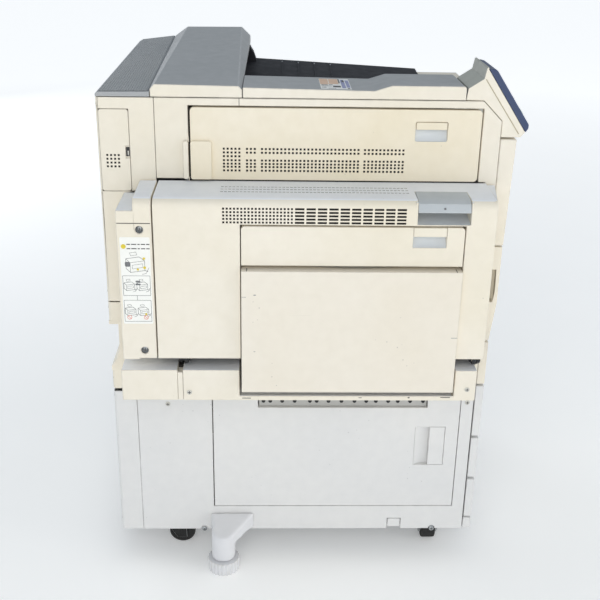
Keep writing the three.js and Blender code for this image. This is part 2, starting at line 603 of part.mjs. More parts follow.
addPiece('duplex_unit', duplexUnit(), CREAM);
addPiece('duplex_guide', duplexGuide(), BLACK);
addPiece('duplex_lever', duplexLever(), PALE_GREY);
addPiece('bypass_unit', bypassUnit(), CREAM);
addPiece('bypass_latch', box([-319.8, -315.5], [-203.5, -152.5], [667.5, 682]), CREAM);
addPiece('bypass_tray', bypassTray(), CREAM);
addPiece('duplex_end_cover', endCover(), CREAM);
addPiece('skirt_rear', rearSkirt(), CREAM);
addPiece('skirt_front', frontSkirt(), CREAM);

export default copier;
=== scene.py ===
import json
import math
import bpy
import bmesh
from mathutils import Matrix, Vector
from mathutils.bvhtree import BVHTree


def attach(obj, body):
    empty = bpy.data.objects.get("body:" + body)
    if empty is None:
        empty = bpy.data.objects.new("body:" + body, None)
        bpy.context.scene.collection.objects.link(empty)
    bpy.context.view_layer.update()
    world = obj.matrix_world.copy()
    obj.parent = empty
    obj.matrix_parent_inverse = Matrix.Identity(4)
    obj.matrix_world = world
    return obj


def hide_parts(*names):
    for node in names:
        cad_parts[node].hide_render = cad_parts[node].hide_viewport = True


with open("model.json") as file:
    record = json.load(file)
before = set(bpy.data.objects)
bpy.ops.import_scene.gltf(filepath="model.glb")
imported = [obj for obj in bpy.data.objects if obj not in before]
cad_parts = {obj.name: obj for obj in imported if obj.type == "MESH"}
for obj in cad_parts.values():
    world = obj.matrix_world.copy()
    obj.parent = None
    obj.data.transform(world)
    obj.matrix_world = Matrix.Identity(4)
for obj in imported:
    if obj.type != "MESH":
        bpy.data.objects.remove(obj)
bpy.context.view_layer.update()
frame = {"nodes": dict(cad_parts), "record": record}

MM = 0.001
RECORD = frame["record"]
BODY_OF = {n: b for b, nodes in RECORD["behaviour"]["bodies"].items() for n in nodes}
SLOT_OF = {s["node"]: s["material_slot"] for s in RECORD["subparts"]}

# faces that details sit on, in mm: the near side is -X, the operator's side -Y
SIDE_X = -220       # engine and paper bank, near side
UNIT_X = -320       # two-sided unit, bypass unit, end cover and skirts, near side
TRAY_X = -330       # folded bypass tray
FAR_X = 330         # far side
REAR_Y = 339.5      # rear covers

# ---------- camera and lights ----------
# the camera was solved from the vanishing lines of the photographed side; places are in metres
camera = bpy.data.objects.new("camera", bpy.data.cameras.new("camera"))
camera.data.lens = 57.558
camera.data.sensor_width = 36
camera.location = (-1.71, 0.068, 1.1428)
camera.rotation_euler = [math.radians(a) for a in (67.328, -0.983, -91.5501)]
bpy.context.collection.objects.link(camera)
scene = bpy.context.scene
scene.camera = camera
scene.view_settings.view_transform = "Standard"


def area_light(name, place, target, size, watts, colour):
    light = bpy.data.lights.new(name, "AREA")
    light.shape = "DISK"
    light.size = size
    light.energy = watts
    light.color = colour
    obj = bpy.data.objects.new(name, light)
    obj.location = place
    direction = Vector(target) - Vector(place)
    obj.rotation_euler = direction.to_track_quat("-Z", "Y").to_euler()
    bpy.context.collection.objects.link(obj)


area_light("key_light", (-3.7, 0.5, 2.3), (0, 0, 0.45), 3.0, 40, (1.0, 0.985, 0.95))
area_light("low_light", (-3.9, 0.3, 0.8), (0, 0, 0.45), 2.0, 14, (0.97, 0.98, 1.0))
area_light("fill_light", (-1.4, -3.6, 1.2), (0, 0, 0.45), 2.6, 36, (1.0, 0.98, 0.95))
area_light("top_light", (0.4, 0.3, 3.6), (0, 0, 0.5), 3.0, 5, (0.74, 0.87, 1.0))
area_light("back_light", (3.2, 2.6, 1.4), (0, 0, 0.5), 2.4, 34, (0.97, 0.98, 1.0))
world = bpy.data.worlds.new("studio")
world.use_nodes = True
world.node_tree.nodes["Background"].inputs["Color"].default_value = (0.86, 0.93, 1.0, 1)
world.node_tree.nodes["Background"].inputs["Strength"].default_value = 0.50
scene.world = world


# ---------- materials ----------
def node_tree(name):
    material = bpy.data.materials.new(name)
    material.use_nodes = True
    return material, material.node_tree.nodes, material.node_tree.links


def noise_node(nodes, links, coordinates, scale, detail, stretch=None):
    source = coordinates
    if stretch:
        mapping = nodes.new("ShaderNodeMapping")
        mapping.inputs["Scale"].default_value = stretch
        links.new(coordinates, mapping.inputs["Vector"])
        source = mapping.outputs["Vector"]
    noise = nodes.new("ShaderNodeTexNoise")
    noise.inputs["Scale"].default_value = scale
    noise.inputs["Detail"].default_value = detail
    links.new(source, noise.inputs["Vector"])
    return noise.outputs["Fac"]


def ranged(nodes, links, value, low, high, to_low=0.0, to_high=1.0):
    node = nodes.new("ShaderNodeMapRange")
    for key, number in zip(("From Min", "From Max", "To Min", "To Max"), (low, high, to_low, to_high)):
        node.inputs[key].default_value = number
    links.new(value, node.inputs["Value"])
    return node.outputs["Result"]


def mixed(nodes, links, factor, first, second):
    node = nodes.new("ShaderNodeMix")
    node.data_type = "RGBA"
    links.new(factor, node.inputs["Factor"])
    for socket, value in ((node.inputs["A"], first), (node.inputs["B"], second)):
        if isinstance(value, tuple):
            socket.default_value = (*value, 1)
        else:
            links.new(value, socket)
    return node.outputs["Result"]


def product(nodes, links, first, second):
    node = nodes.new("ShaderNodeMath")
    node.operation = "MULTIPLY"
    links.new(first, node.inputs[0])
    if isinstance(second, float):
        node.inputs[1].default_value = second
    else:
        links.new(second, node.inputs[1])
    return node.outputs[0]


def srgb(r, g, b):
    return tuple((c / 255 / 12.92) if c <= 10 else ((c / 255 + 0.055) / 1.055) ** 2.4 for c in (r, g, b))


def shaded(c, factor):
    return tuple(min(1.0, v * factor) for v in c)


GRAIN_DEPTH = 0.0004


def surface(name, colour, aged=None, rough=0.5, grain=0.10, grain_scale=1500, specks=0.0, scratches=0.0,
            wear=None, metallic=0.0, mottling=0.05, coat=0.0):
    """A moulded, painted or metal finish: slow colour drift, mottling, grain, dust, scratches, worn edges."""
    material, nodes, links = node_tree(name)
    shader = nodes["Principled BSDF"]
    shader.inputs["Metallic"].default_value = metallic
    shader.inputs["Coat Weight"].default_value = coat
    coordinates = nodes.new("ShaderNodeTexCoord").outputs["Object"]
    drift = noise_node(nodes, links, coordinates, 4.5, 4)
    mottle = noise_node(nodes, links, coordinates, 55, 4)
    fine = noise_node(nodes, links, coordinates, grain_scale, 2)
    base = mixed(nodes, links, ranged(nodes, links, drift, 0.35, 0.72, 0, 0.75), colour,
                 aged or shaded(colour, 0.9))
    base = mixed(nodes, links, ranged(nodes, links, mottle, 0.3, 0.75, 0, mottling * 4), base,
                 shaded(aged or colour, 0.86))
    if specks:
        cells = nodes.new("ShaderNodeTexVoronoi")
        cells.inputs["Scale"].default_value = 70
        links.new(coordinates, cells.inputs["Vector"])
        dot = ranged(nodes, links, cells.outputs["Distance"], 0.05, 0.09, specks, 0)
        sparse = ranged(nodes, links, noise_node(nodes, links, coordinates, 9, 2), 0.56, 0.64)
        base = mixed(nodes, links, product(nodes, links, dot, sparse), base, shaded(colour, 0.35))
    if scratches:
        lines = noise_node(nodes, links, coordinates, 1.0, 2, (30, 9, 620))
        line = ranged(nodes, links, lines, 0.70, 0.735)
        patch = ranged(nodes, links, noise_node(nodes, links, coordinates, 7, 2), 0.5, 0.62)
        scratch = product(nodes, links, product(nodes, links, line, patch), scratches)
        base = mixed(nodes, links, scratch, base, shaded(colour, 0.45))
    worn = nodes.new("ShaderNodeAttribute")
    worn.attribute_name = "edge_wear"
    rub = product(nodes, links, worn.outputs["Fac"], ranged(nodes, links, mottle, 0.42, 0.62, 0.15, 0.75))
    base = mixed(nodes, links, rub, base, wear or shaded(colour, 0.80))
    links.new(base, shader.inputs["Base Color"])
    links.new(ranged(nodes, links, mottle, 0.3, 0.7, rough - 0.06, rough + 0.07), shader.inputs["Roughness"])
    bump = nodes.new("ShaderNodeBump")
    bump.inputs["Strength"].default_value = grain
    bump.inputs["Distance"].default_value = GRAIN_DEPTH
    links.new(fine, bump.inputs["Height"])
    links.new(bump.outputs["Normal"], shader.inputs["Normal"])
    return material


CREAM = srgb(236, 229, 215)
WARM = srgb(237, 228, 209)
COOL = srgb(225, 224, 222)
MATERIALS = {
    "cream_plastic": surface("cream_plastic", CREAM, srgb(230, 221, 200), 0.48, specks=0.35),
    "warm_cream_plastic": surface("warm_cream_plastic", WARM, srgb(230, 217, 187), 0.48, specks=0.35),
    "cool_white_paint": surface("cool_white_paint", COOL, srgb(219, 219, 219), 0.42, 0.06, 900, specks=0.4),
    "top_grey_plastic": surface("top_grey_plastic", srgb(168, 170, 171), srgb(160, 163, 165), 0.55, 0.16,
                                1100, wear=srgb(186, 188, 189)),
    "pale_grey_plastic": surface("pale_grey_plastic", srgb(190, 195, 198), srgb(178, 184, 188), 0.5,
                                 wear=srgb(208, 210, 211)),
    "dark_plastic": surface("dark_plastic", srgb(22, 24, 32), srgb(28, 29, 37), 0.72, 0.2, 1000,
                            wear=srgb(52, 53, 60), mottling=0.03),
    "navy_plastic": surface("navy_plastic", srgb(56, 70, 104), srgb(48, 61, 94), 0.42, 0.12,
                            wear=srgb(84, 96, 126)),
    "black_plastic": surface("black_plastic", srgb(24, 24, 26), srgb(33, 33, 35), 0.5, 0.15, 900,
                             wear=srgb(58, 58, 60)),
    "steel": surface("steel", srgb(176, 179, 181), srgb(158, 162, 164), 0.36, 0.06, 700, metallic=0.9,
                     wear=srgb(205, 207, 208), mottling=0.1),
    "rubber": surface("rubber", srgb(26, 26, 26), srgb(40, 39, 37), 0.78, 0.35, 500, wear=srgb(62, 60, 57)),
    "foot_plastic": surface("foot_plastic", srgb(226, 226, 228), srgb(217, 217, 220), 0.36, 0.05,
                            wear=srgb(214, 212, 206), specks=0.3),
    "green_plastic": surface("green_plastic", srgb(80, 148, 102), srgb(72, 136, 94), 0.4),
    "toner_cyan": surface("toner_cyan", srgb(44, 150, 190), srgb(38, 138, 178), 0.4),
    "toner_magenta": surface("toner_magenta", srgb(190, 60, 120), srgb(176, 52, 110), 0.4),
    "toner_yellow": surface("toner_yellow", srgb(216, 194, 62), srgb(204, 180, 54), 0.4),
    "toner_black": surface("toner_black", srgb(44, 44, 46), srgb(54, 54, 56), 0.4),
}
TRAY_CREAM = surface("tray_cream", srgb(234, 227, 214), srgb(230, 221, 204), 0.5, specks=0.5, scratches=0.5)
# darker grey under the perforated sheet: painted shade seen through its holes
GRILLE_HOLES_PAINTED_SHADE = surface("grille_holes_painted_shade", srgb(156, 159, 163), srgb(146, 149, 153), 0.8, 0.1, 500)
STRIP_GREY = surface("strip_grey", srgb(188, 187, 184), srgb(176, 175, 171), 0.5)
CAP_GREY = surface("cap_grey", srgb(172, 174, 166), srgb(162, 164, 156), 0.55, 0.16, 1100)
HOLLOW = surface("hollow_shadow", srgb(52, 48, 44), srgb(40, 37, 34), 0.8, 0.1, 500)
SEAM = surface("seam_shadow", srgb(96, 92, 86), srgb(78, 75, 70), 0.85, 0.1, 500)
# a blue-white copy of the cream plastic for faces that look up: painted sky light on the tops
PAINTED_SKYLIGHT_TOP = surface("cream_plastic_top_painted_skylight", srgb(238, 241, 246), srgb(230, 233, 238), 0.45, specks=0.35)
# a near-white copy of the skirts' plastic for their tops: painted light where the unit above shades them
SKIRT_TOP_PAINTED_LIGHT = surface("skirt_top_painted_light", srgb(251, 252, 254), srgb(246, 248, 250), 0.45, specks=0.2,
                    mottling=0.02)
# pale grey plastic made brighter for the grip recesses: painted light where the recesses are shaded
GRIP_GREY_PAINTED_LIGHT = surface("grip_grey_painted_light", srgb(222, 226, 229), srgb(212, 217, 221), 0.5)
# a darker cream lining for a shallow groove: painted shade in the groove
SOFT_SEAM_SHADE = surface("soft_seam_painted_shade", srgb(196, 186, 160), srgb(182, 172, 146), 0.7, 0.05, 500)
SCREW_PALE = surface("screw_pale", srgb(206, 204, 196), srgb(186, 184, 176), 0.4, 0.05, 700, metallic=0.3)
BLUE = surface("grip_blue", srgb(96, 130, 168), srgb(84, 118, 156), 0.42, wear=srgb(126, 156, 188))
PAPER = surface("label_paper", srgb(244, 244, 240), srgb(238, 237, 230), 0.35, 0.03, 700)
INK_GREY = surface("ink_grey", srgb(120, 122, 124), srgb(104, 106, 108), 0.5, 0.02)
# dark ink for print and marks; the screw crosses use it as painted shade
DARK_INK_AND_PAINTED_SHADE = surface("dark_ink_and_painted_shade", srgb(62, 62, 64), srgb(54, 54, 58), 0.5, 0.02)
INK_YELLOW = surface("ink_yellow", srgb(226, 206, 62), srgb(214, 192, 54), 0.5, 0.02)
INK_RED = surface("ink_red", srgb(226, 122, 98), srgb(214, 108, 86), 0.5, 0.02)
INK_ORANGE = surface("ink_orange", srgb(226, 190, 160), srgb(214, 174, 142), 0.4, 0.02)
INK_VIOLET = surface("ink_violet", srgb(146, 150, 190), srgb(128, 134, 176), 0.4, 0.02)
GLASS = surface("display_glass", srgb(34, 46, 48), srgb(40, 54, 55), 0.15, 0.0, coat=0.6)
LCD = surface("display_segments", srgb(150, 176, 168), srgb(138, 165, 158), 0.3, 0.0)
# pale grey plastic darkened: painted shade, on the screw wells, tray pegs and panel keys
PALE_GREY_PAINTED_SHADE = surface("inner_shadow_grey", srgb(150, 155, 160), srgb(138, 144, 150), 0.6)
FLOOR = surface("studio_floor", srgb(250, 250, 249), srgb(248, 248, 247), 0.7, 0.02, 60, mottling=0.0)


# ---------- mesh building ----------
def linked(name, mesh, *materials):
    obj = bpy.data.objects.new(name, mesh)
    bpy.context.collection.objects.link(obj)
    mesh.materials.clear()
    for material in materials:
        mesh.materials.append(material)
    return obj


def block(bm, lo, hi):
    corners = [bm.verts.new([(hi if k & (1 << i) else lo)[i] * MM for i in range(3)]) for k in range(8)]
    for face in ((0, 2, 3, 1), (4, 5, 7, 6), (0, 1, 5, 4), (2, 6, 7, 3), (0, 4, 6, 2), (1, 3, 7, 5)):
        bm.faces.new([corners[i] for i in face])


PLANES = {"x": (1, 2, 0), "y": (0, 2, 1), "z": (0, 1, 2)}


def prism(bm, axis, outline, start, end):
    """A closed prism; the outline is drawn in (y,z), (x,z) or (x,y) across its axis."""
    a, b, along = PLANES[axis]

    def ring(place):
        verts = []
        for p in outline:
            v = [0, 0, 0]
            v[a], v[b], v[along] = p[0] * MM, p[1] * MM, place * MM
            verts.append(bm.verts.new(v))
        return verts

    first, second = ring(start), ring(end)
    faces = [bm.faces.new(first), bm.faces.new(second)]
    for i in range(len(outline)):
        j = (i + 1) % len(outline)
        faces.append(bm.faces.new([first[i], first[j], second[j], second[i]]))
    bmesh.ops.recalc_face_normals(bm, faces=faces)


def round_rect(a0, a1, b0, b1, r, steps=5):
    corners = ((a1 - r, b0 + r, -90), (a1 - r, b1 - r, 0), (a0 + r, b1 - r, 90), (a0 + r, b0 + r, 180))
    points = []
    for ca, cb, start in corners:
        for k in range(steps + 1):
            t = math.radians(start + 90 * k / steps)
            points.append((ca + r * math.cos(t), cb + r * math.sin(t)))
    return points


def circle(a, b, r, steps=24):
    return [(a + r * math.cos(2 * math.pi * k / steps), b + r * math.sin(2 * math.pi * k / steps))
            for k in range(steps)]


def lathe(bm, axis, centre, profile, steps=32):
    """A turned solid about an axis; the profile lists (place along the axis, radius), closed at both ends."""
    a, b, along = PLANES[axis]
    rings = []
    for place, radius in profile:
        ring = []
        for p in circle(centre[0], centre[1], radius, steps):
            v = [0, 0, 0]
            v[a], v[b], v[along] = p[0] * MM, p[1] * MM, place * MM
            ring.append(bm.verts.new(v))
        rings.append(ring)
    faces = [bm.faces.new(rings[0]), bm.faces.new(rings[-1])]
    for low, high in zip(rings, rings[1:]):
        for i in range(steps):
            j = (i + 1) % steps
            faces.append(bm.faces.new([low[i], low[j], high[j], high[i]]))
    bmesh.ops.recalc_face_normals(bm, faces=faces)


def applied(obj):
    graph = bpy.context.evaluated_depsgraph_get()
    mesh = bpy.data.meshes.new_from_object(obj.evaluated_get(graph), preserve_all_data_layers=True,
                                           depsgraph=graph)
    obj.modifiers.clear()
    obj.data = mesh


def measures(mesh):
    bm = bmesh.new()
    bm.from_mesh(mesh)
    volume = bm.calc_volume()
    area = sum(f.calc_area() for f in bm.faces)
    corners = [v.co for v in bm.verts]
    bm.free()
    lo = [min(c[i] for c in corners) for i in range(3)]
    hi = [max(c[i] for c in corners) for i in range(3)]
    return volume, area, lo, hi


def same_form(first, second):
    """True if rounding the edges has left the piece's size, volume and area as they were."""
    room = 0.2 * MM
    inside = all(b >= a - room for a, b in zip(first[2], second[2])) and \
        all(b <= a + room for a, b in zip(first[3], second[3]))
    return inside and 0.9 < second[0] / first[0] < 1.005 and 0.85 < second[1] / first[1] < 1.01


def rounded(obj, width, segments=3):
    """Rounds the sharp edges and marks the new faces as edges that wear. A width that spoils the form is
    clamped or reduced; a piece on which none works keeps its sharp edges."""
    if not width:
        return
    count = len(obj.data.materials)
    obj.data.materials.append(obj.data.materials[0])
    start = obj.data
    before = measures(start)
    for share, clamp in ((1.0, False), (1.0, True), (0.6, False), (0.6, True), (0.3, True)):
        bevel = obj.modifiers.new("round", "BEVEL")
        bevel.width = width * share * MM
        bevel.segments = segments
        bevel.limit_method = "ANGLE"
        bevel.angle_limit = math.radians(32)
        bevel.use_clamp_overlap = clamp
        bevel.loop_slide = False
        bevel.material = count
        applied(obj)
        if same_form(before, measures(obj.data)):
            break
        obj.data = start
    wear = obj.data.attributes.new("edge_wear", "FLOAT", "FACE")
    for polygon in obj.data.polygons:
        if polygon.material_index == count:
            wear.data[polygon.index].value = 1.0
            polygon.material_index = 0
    obj.data.materials.pop(index=count)


def carved(obj, build, material=HOLLOW):
    """Cuts away the shapes that build() draws; the new faces take the given material. A cut that loses
    most of the piece is tried again with the cutter moved by a few hundredths of a mm."""
    bm = bmesh.new()
    build(bm)
    mesh = bpy.data.meshes.new("cutter")
    bm.to_mesh(mesh)
    bm.free()
    cutter = linked("cutter", mesh, material)
    start = obj.data
    for shift in (0.0, 0.013, -0.017, 0.041):
        cutter.location = Vector((shift, shift, shift)) * MM
        boolean = obj.modifiers.new("carve", "BOOLEAN")
        boolean.operation = "DIFFERENCE"
        boolean.solver = "EXACT"
        boolean.material_mode = "TRANSFER"
        boolean.object = cutter
        applied(obj)
        if len(obj.data.polygons) > 0.5 * len(start.polygons):
            break
        obj.data = start
    bpy.data.objects.remove(cutter)


def smoothed(obj, angle=35):
    for polygon in obj.data.polygons:
        polygon.use_smooth = True
    obj.data.set_sharp_from_angle(angle=math.radians(angle))
    weighted = obj.modifiers.new("flat_faces", "WEIGHTED_NORMAL")
    weighted.keep_sharp = True
    applied(obj)


def softened(obj, voxel, rounds):
    """Melts the edges of a smooth moulding: an even fine mesh, then relaxed."""
    remesh = obj.modifiers.new("even", "REMESH")
    remesh.mode = "VOXEL"
    remesh.voxel_size = voxel * MM
    relax = obj.modifiers.new("relax", "SMOOTH")
    relax.factor = 0.5
    relax.iterations = rounds
    applied(obj)


def refined(node, width=1.0, material=None, before=(), after=(), segments=3, soft=None):
    """A finished copy of a CAD node, which it replaces. The shapes in before are cut out of it, its edges are
    rounded (or melted, with soft), and then each (shapes, material) in after is cut out."""
    mesh = frame["nodes"][node].data.copy()
    bm = bmesh.new()
    bm.from_mesh(mesh)
    bmesh.ops.remove_doubles(bm, verts=bm.verts, dist=1e-6)
    bmesh.ops.dissolve_limit(bm, angle_limit=math.radians(1), verts=bm.verts, edges=bm.edges)
    bm.to_mesh(mesh)
    bm.free()
    main = material or MATERIALS[SLOT_OF[node]]
    obj = linked(f"{node}_finished", mesh, main)
    for polygon in mesh.polygons:
        polygon.material_index = 0
    for build in before:
        carved(obj, build, main)
    if soft:
        softened(obj, *soft)
    else:
        rounded(obj, width, segments)
    for build, lining in after:
        carved(obj, build, lining)
    smoothed(obj)
    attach(obj, BODY_OF[node])
    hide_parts(node)
    return obj


def detail(name, body, slot, material, build, width=0.0, segments=2, smooth=35, place=None):
    """A small piece that has no CAD node of its own; place is a matrix that moves it to where it belongs."""
    bm = bmesh.new()
    build(bm)
    if place is not None:
        bmesh.ops.transform(bm, matrix=place, verts=bm.verts)
    mesh = bpy.data.meshes.new(name)
    bm.to_mesh(mesh)
    bm.free()
    obj = linked(name, mesh, material)
    rounded(obj, width, segments)
    smoothed(obj, smooth)
    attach(obj, body)
    return obj


def repaint(obj, material, test):
    """Gives another material to those unpainted faces that test(normal, centre in mm) picks."""
    index = len(obj.data.materials)
    obj.data.materials.append(material)
    for polygon in obj.data.polygons:
        if polygon.material_index == 0 and test(polygon.normal, polygon.center / MM):
            polygon.material_index = index


# ---------- cutters for vents and corners ----------
def square_holes(x_range, columns, rows, size=3.3):
    def build(bm):
        for y in columns:
            for z in rows:
                block(bm, (x_range[0], y - size / 2, z - size / 2), (x_range[1], y + size / 2, z + size / 2))
    return build


def blocks(*pairs):
    def build(bm):
        for lo, hi in pairs:
            block(bm, lo, hi)
    return build


def steps(first, pitch, count):
    return [first + pitch * i for i in range(count)]


def slots_in_rear(columns, length, rows, depth):
    """Level vent slots in a rear cover; each starts at an x in columns and stands on a z in rows."""
    return lambda bm: [block(bm, (x, REAR_Y - depth, z), (x + length, REAR_Y + 2.5, z + 3.2))
                       for x in columns for z in rows]


DOOR_ROWS = [778.5, 772.5, 760, 754.5, 749.5, 743.5]                # z
DOOR_BLOCKS = [(141.5, 5), (105, 3), (81.4, 26), (-81.5, 11)]       # first y, holes
DOOR_CUT = (SIDE_X - 4, SIDE_X + 0.8)
DUPLEX_ROWS = steps(710.5, -5.4, 5)
DUPLEX_CUT = (UNIT_X - 3, UNIT_X + 2.4)
VENT_PITCH = 6.1


def upper_door_vents(bm):
    for start, count in DOOR_BLOCKS:
        square_holes(DOOR_CUT, steps(start, -VENT_PITCH, count), DOOR_ROWS)(bm)
    square_holes(DOOR_CUT, steps(DOOR_BLOCKS[0][0], -VENT_PITCH, 5), [766.5])(bm)


def duplex_vents(bm):
    square_holes(DUPLEX_CUT, steps(139, -5.47, 20), DUPLEX_ROWS, 3.2)(bm)
    for y in steps(23.3, -17.3, 10):
        for z in DUPLEX_ROWS:
            block(bm, (DUPLEX_CUT[0], y - 7.1, z - 1.6), (DUPLEX_CUT[1], y + 7.1, z + 1.6))


def duplex_top_vents(bm):
    for x in (-254, -266, -279):
        for y in steps(143, -6.0, 49):
            block(bm, (x - 1.0, y - 2.2, 724), (x + 1.0, y + 2.2, 730))


def corner_wedges(bm, y_range, z_top, x_range, r):
    """Cutters that round the two upper corners of a panel on the near side."""
    for y, sign in ((y_range[0], 1), (y_range[1], -1)):
        centre = (y + sign * r, z_top - r)
        arc = []
        for k in range(7):
            t = math.radians(90 * k / 6)
            arc.append((centre[0] - sign * r * math.cos(t), centre[1] + r * math.sin(t)))
        outside = [(y + sign * r, z_top + 4), (y - sign * 4, z_top + 4), (y - sign * 4, z_top - r)]
        prism(bm, "x", arc + outside, *x_range)


# ---------- finished copies of the CAD nodes ----------
# engine side
refined("side_surround", 1.2, after=[
    (blocks(((-222, 116.6, 845), (-218.6, 117.6, 859))), SEAM)])
door = refined("upper_door", 1.1, after=[(upper_door_vents, HOLLOW)])
# the upward faces of the door's grip recess are painted brighter than the plastic: painted light
repaint(door, GRIP_GREY_PAINTED_LIGHT, lambda n, c: n.z > 0.8 and -223 < c.x < -211 and 792 < c.z < 797)
refined("upper_door_latch", 0.9)

refined("rear_cover", 1.2, after=[
    (slots_in_rear(steps(-150, 95, 4), 70, steps(740, -9, 9), 1.9), HOLLOW)])
refined("service_door", 0.8, after=[
    (square_holes((-222, -217.5), steps(325, -6, 4), steps(766, -6.1, 4), 3.2), HOLLOW)])
refined("rear_lower_cover", 1.2, after=[
    (slots_in_rear((-92, -22, 140), 56, steps(440, -9, 6), 1.5), HOLLOW)])
refined("far_cover", 0.8, after=[
    (lambda bm: [block(bm, (FAR_X - 4, y, z), (FAR_X + 2, y + 3.2, z + 40))
                 for y in steps(120, -8, 22) for z in (700, 646)], HOLLOW)])
refined("front_top_cover", 1.5)
refined("upper_front_cover", 2.0, segments=4)
refined("lower_front_cover", 2.0, segments=4)

# two-sided unit
duplex = refined("duplex_unit", 1.0, after=[(duplex_vents, HOLLOW), (duplex_top_vents, SEAM)])
# the faces below 458.5 mm and the end faces of the low front are painted black: painted shade that hides them
# in the dark gap under the unit
repaint(duplex, MATERIALS["black_plastic"],
        lambda n, c: c.z < 458.5 or (c.x < -296 and 460 < c.z < 484 and n.y ** 2 > 0.9))
# the unit's top faces take the blue-white copy of its plastic: painted sky light
repaint(duplex, PAINTED_SKYLIGHT_TOP, lambda n, c: n.z > 0.9 and c.z > 720)
refined("duplex_guide", 0.5)
refined("duplex_lever", 0.7)
refined("bypass_unit", 0.9, before=[
    lambda bm: corner_wedges(bm, (-231.5, 112.5), 682.5, (-325, -290), 6)])
refined("bypass_latch", 0.7)
refined("bypass_tray", 1.0, material=TRAY_CREAM)
end_cover = refined("duplex_end_cover", 1.6, segments=4)
rear_skirt = refined("skirt_rear", 1.6, segments=4)
front_skirt = refined("skirt_front", 1.2)
# the end cover's top faces take the blue-white copy of its plastic: painted sky light
repaint(end_cover, PAINTED_SKYLIGHT_TOP, lambda n, c: n.z > 0.9 and c.z > 700)
# the skirts' tops are painted brighter than their plastic: painted light
for piece in (rear_skirt, front_skirt):
    repaint(piece, SKIRT_TOP_PAINTED_LIGHT, lambda n, c: n.z > 0.9)

# top
hood = refined("exhaust_hood", 1.6, segments=4)
rim = refined("top_rim", 1.6, segments=4)
for piece in (hood, rim):
    repaint(piece, MATERIALS["cream_plastic"], lambda n, c: n.x < -0.3 and c.x < -217)
grille = refined("top_grille", 1.0)
# the grille's top under the perforated sheet is painted darker grey: painted shade in the holes
repaint(grille, GRILLE_HOLES_PAINTED_SHADE, lambda n, c: n.z > 0.7 and c.z > 862 and -216 < c.x < 326)
refined("output_tray", 0.8)
PANEL_GROOVE = [(-265.6, 891.3), (-264.4, 890.3), (-323.6, 805.4), (-325.0, 806.4)]     # y, z
# the groove in the housing is lined darker: painted shade
housing = refined("panel_housing", 0.9, after=[
    (lambda bm: prism(bm, "x", PANEL_GROOVE, -219, -217.2), SOFT_SEAM_SHADE)])
repaint(housing, CAP_GREY, lambda n, c: n.z > 0.12 and c.y > -270)
refined("panel_face", 1.4)
refined("key_start", 0.5)
refined("key_stop", 0.5)

# paper bank
refined("bank_side_cover", 0.7)
refined("bank_rear_cover", 1.2)
refined("bank_far_cover", 0.7)
refined("bank_front_strip", 1.2)
refined("bank_door", 0.9)
refined("bank_door_latch", 0.7)
refined("bank_feed_guide", 0.4, material=INK_GREY)
for number in (1, 2, 3, 4):
    refined(f"tray_{number}", 1.2)
refined("stabiliser_arm", before=[blocks(((-221, 93, 62), (-206, 175, 95)))], soft=(1.8, 46), after=[
    (blocks(((-220.5, 60, 20), (-180, 200, 130))), MATERIALS["foot_plastic"])])
refined("stabiliser_ring", 1.0)

# inside
frame_plate = refined("main_frame", 0.4)
# the frame's faces beyond the near side are painted black: painted shade that hides them under the two-sided
# unit
repaint(frame_plate, MATERIALS["black_plastic"], lambda n, c: c.x < -221)
INNER_EDGES = {"bank_frame": 0.4, "inner_front_panel": 0.4, "fuser_housing": 0.8, "transfer_unit": 1.0,
               "fuser_roller": 0.5, "pressure_roller": 0.5, "exit_roller": 0.4, "toner_bottle_1": 1.0,
               "toner_bottle_2": 1.0, "toner_bottle_3": 1.0, "toner_bottle_4": 1.0}
for node, width in INNER_EDGES.items():
    refined(node, width)
for corner in ("near_rear", "near_front", "far_rear", "far_front"):
    fork = refined(f"caster_{corner}_fork", 1.0)
    if corner.endswith("rear"):
        repaint(fork, MATERIALS["rubber"], lambda n, c: abs(n.x) > 0.8 and c.y < 252)
    refined(f"caster_{corner}_wheel", 2.4, segments=4)


# ---------- screws, grip ramps, hinge gaps, plates ----------
def screw(bm, axis, centre, place, outward, radius=4.2):
    """A domed screw head, on a plane across the axis; screw_cross draws the cross that goes in it."""
    dome = ((0, 1), (1.0, 1), (1.7, 0.72), (1.9, 0.3))      # height in mm, share of the radius
    lathe(bm, axis, centre, [(place + outward * height, radius * share) for height, share in dome], 20)


# the cross in a screw head, as dark raised strips on the dome: painted shade of the cross recess
def screw_cross(bm, axis, centre, place, outward, radius=4.2):
    a, b, along = PLANES[axis]
    for wide, tall in ((radius * 0.62, 0.55), (0.55, radius * 0.62)):
        lo, hi = [0, 0, 0], [0, 0, 0]
        lo[a], hi[a] = centre[0] - wide, centre[0] + wide
        lo[b], hi[b] = centre[1] - tall, centre[1] + tall
        lo[along], hi[along] = sorted((place + outward * 1.75, place + outward * 1.98))
        block(bm, lo, hi)


def screws(name, axis, place, outward, centres, radius=4.2, material=MATERIALS["steel"]):
    detail(name, "machine", "steel", material,
           lambda bm: [screw(bm, axis, c, place, outward, radius) for c in centres])
    # the crosses are dark: painted shade of the recess
    detail(f"{name}_crosses", "machine", "steel", DARK_INK_AND_PAINTED_SHADE,
           lambda bm: [screw_cross(bm, axis, c, place, outward, radius) for c in centres])


